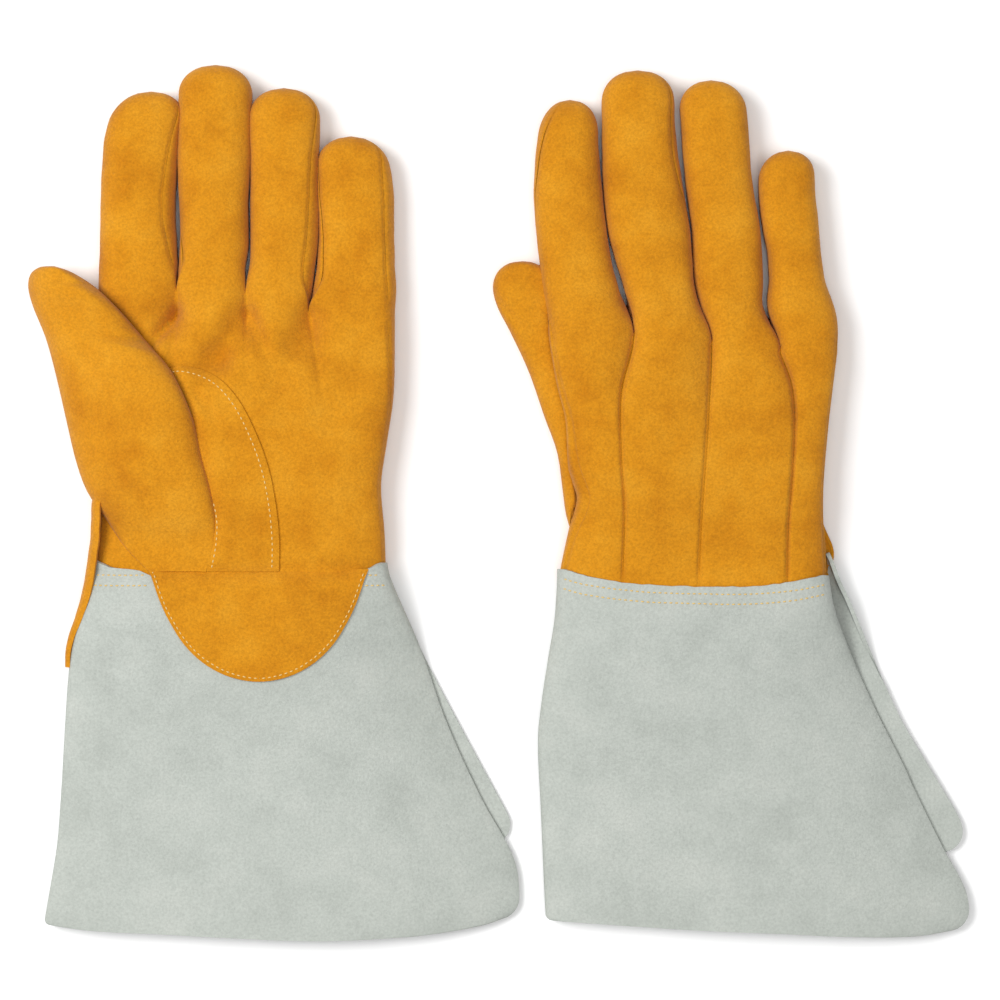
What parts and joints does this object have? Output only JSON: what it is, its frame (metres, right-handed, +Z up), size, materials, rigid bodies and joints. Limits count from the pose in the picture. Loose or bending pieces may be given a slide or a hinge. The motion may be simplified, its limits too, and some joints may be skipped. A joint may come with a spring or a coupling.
{
  "type": "pair of gauntlet welding gloves",
  "caption": "Pair of suede gauntlet welding gloves with flared open cuffs, reinforced palms and thumbs, lying flat side by side.",
  "frame": {"origin": "on the surface the pair lies on, under the middle of the pair's box", "axes": "+X from the left glove to the right glove, +Y towards the fingertips, +Z up"},
  "size_m": [0.3826, 0.355, 0.0254],
  "materials": {
    "gold_suede": "golden orange split suede, mottled nap",
    "grey_suede": "light grey split suede, fine speckle",
    "lining": "soft cotton fleece",
    "thread": "twisted cream thread"
  },
  "bodies": {
    "left_hand": {"left_palm_panel": "gold_suede", "left_back_index": "gold_suede", "left_back_middle": "gold_suede", "left_back_ring": "gold_suede", "left_back_little": "gold_suede", "left_hand_lining": "lining", "left_thumb_crotch_patch": "gold_suede", "left_wrist_patch": "gold_suede", "left_cuff_front": "grey_suede", "left_cuff_back": "grey_suede", "left_stitching": "thread"},
    "left_index": {"left_index_front": "gold_suede", "left_index_back": "gold_suede", "left_index_sides": "gold_suede", "left_index_lining": "lining"},
    "left_middle": {"left_middle_front": "gold_suede", "left_middle_back": "gold_suede", "left_middle_sides": "gold_suede", "left_middle_lining": "lining"},
    "left_ring": {"left_ring_front": "gold_suede", "left_ring_back": "gold_suede", "left_ring_sides": "gold_suede", "left_ring_lining": "lining"},
    "left_little": {"left_little_front": "gold_suede", "left_little_back": "gold_suede", "left_little_sides": "gold_suede", "left_little_lining": "lining"},
    "left_thumb": {"left_thumb_front": "gold_suede", "left_thumb_back": "gold_suede", "left_thumb_lining": "lining"},
    "right_hand": {"right_palm_panel": "gold_suede", "right_back_index": "gold_suede", "right_back_middle": "gold_suede", "right_back_ring": "gold_suede", "right_back_little": "gold_suede", "right_hand_lining": "lining", "right_thumb_crotch_patch": "gold_suede", "right_wrist_patch": "gold_suede", "right_cuff_front": "grey_suede", "right_cuff_back": "grey_suede", "right_stitching": "thread"},
    "right_index": {"right_index_front": "gold_suede", "right_index_back": "gold_suede", "right_index_sides": "gold_suede", "right_index_lining": "lining"},
    "right_middle": {"right_middle_front": "gold_suede", "right_middle_back": "gold_suede", "right_middle_sides": "gold_suede", "right_middle_lining": "lining"},
    "right_ring": {"right_ring_front": "gold_suede", "right_ring_back": "gold_suede", "right_ring_sides": "gold_suede", "right_ring_lining": "lining"},
    "right_little": {"right_little_front": "gold_suede", "right_little_back": "gold_suede", "right_little_sides": "gold_suede", "right_little_lining": "lining"},
    "right_thumb": {"right_thumb_front": "gold_suede", "right_thumb_back": "gold_suede", "right_thumb_lining": "lining"}
  },
  "joints": [
    {"name": "right_lift", "type": "slide", "parent": "left_hand", "child": "right_hand", "axis": [0, 0, 1], "range_m": [0, 0.1]},
    {"name": "left_index_bend", "type": "hinge", "parent": "left_hand", "child": "left_index", "pos_m": [-0.1472, 0.0887, 0.022], "axis": [0.9999, -0.014, 0], "range_deg": [0, 70], "stiffness_Nm_per_rad": 0.05},
    {"name": "left_middle_bend", "type": "hinge", "parent": "left_hand", "child": "left_middle", "pos_m": [-0.1172, 0.0907, 0.022], "axis": [0.9999, -0.014, 0], "range_deg": [0, 70], "stiffness_Nm_per_rad": 0.05},
    {"name": "left_ring_bend", "type": "hinge", "parent": "left_hand", "child": "left_ring", "pos_m": [-0.0899, 0.0887, 0.022], "axis": [0.9999, -0.014, 0], "range_deg": [0, 70], "stiffness_Nm_per_rad": 0.05},
    {"name": "left_little_bend", "type": "hinge", "parent": "left_hand", "child": "left_little", "pos_m": [-0.0603, 0.0827, 0.022], "axis": [0.9999, -0.014, 0], "range_deg": [0, 70], "stiffness_Nm_per_rad": 0.05},
    {"name": "left_thumb_bend", "type": "hinge", "parent": "left_hand", "child": "left_thumb", "pos_m": [-0.1505, 0.0347, 0.022], "axis": [0.8746, 0.4848, 0], "range_deg": [0, 40], "stiffness_Nm_per_rad": 0.05},
    {"name": "right_index_bend", "type": "hinge", "parent": "right_hand", "child": "right_index", "pos_m": [0.0353, 0.083, 0.0034], "axis": [-0.9945, -0.1045, 0], "range_deg": [0, 70], "stiffness_Nm_per_rad": 0.05},
    {"name": "right_middle_bend", "type": "hinge", "parent": "right_hand", "child": "right_middle", "pos_m": [0.0653, 0.085, 0.0034], "axis": [-0.9945, -0.1045, 0], "range_deg": [0, 70], "stiffness_Nm_per_rad": 0.05},
    {"name": "right_ring_bend", "type": "hinge", "parent": "right_hand", "child": "right_ring", "pos_m": [0.0926, 0.083, 0.0034], "axis": [-0.9945, -0.1045, 0], "range_deg": [0, 70], "stiffness_Nm_per_rad": 0.05},
    {"name": "right_little_bend", "type": "hinge", "parent": "right_hand", "child": "right_little", "pos_m": [0.1222, 0.077, 0.0034], "axis": [-0.9945, -0.1045, 0], "range_deg": [0, 70], "stiffness_Nm_per_rad": 0.05},
    {"name": "right_thumb_bend", "type": "hinge", "parent": "right_hand", "child": "right_thumb", "pos_m": [0.0315, 0.029, 0.0034], "axis": [-0.8387, -0.5446, 0], "range_deg": [0, 40], "stiffness_Nm_per_rad": 0.05}
  ]
}
